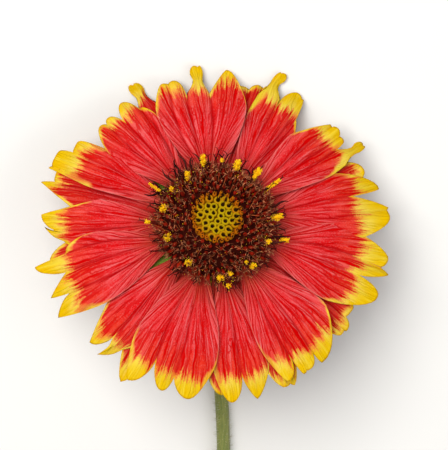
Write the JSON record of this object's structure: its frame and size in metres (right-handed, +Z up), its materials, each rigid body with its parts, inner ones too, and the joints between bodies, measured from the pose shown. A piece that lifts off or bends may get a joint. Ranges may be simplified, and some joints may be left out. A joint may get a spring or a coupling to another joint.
{
  "type": "cut blanket flower stem",
  "caption": "cut stem of a red and yellow daisy-like garden flower, lying down, with lobed ray florets round a domed dark disc, a bent neck and toothed leaves",
  "frame": {"origin": "on the flat underside of the stem, where it first lies on the surface behind the flower head", "axes": "+Z up from the surface, +Y along the stem from its cut end towards the flower head, +X to the right as the flower is seen from above with its head away from the viewer"},
  "size_m": [0.0831, 0.1625, 0.0321],
  "materials": {
    "petal_red": "soft living petal, crimson to coral red with yellow tips",
    "floret_maroon": "dark maroon, velvety",
    "pollen_yellow": "powdery golden yellow",
    "bud_green": "matt yellow-green",
    "bract_green": "matt green, hairy",
    "stem_green": "green tinged red-brown, finely hairy",
    "leaf_green": "matt grey-green, finely hairy"
  },
  "bodies": {
    "root": {"ray_florets": "petal_red", "disc_florets": "floret_maroon", "disc_buds": "bud_green", "involucre": "bract_green", "stem": "stem_green", "leaf_upper_right": "leaf_green", "leaf_upper_left": "leaf_green", "leaf_lower_right": "leaf_green", "leaf_lower_left": "leaf_green"}
  },
  "joints": []
}
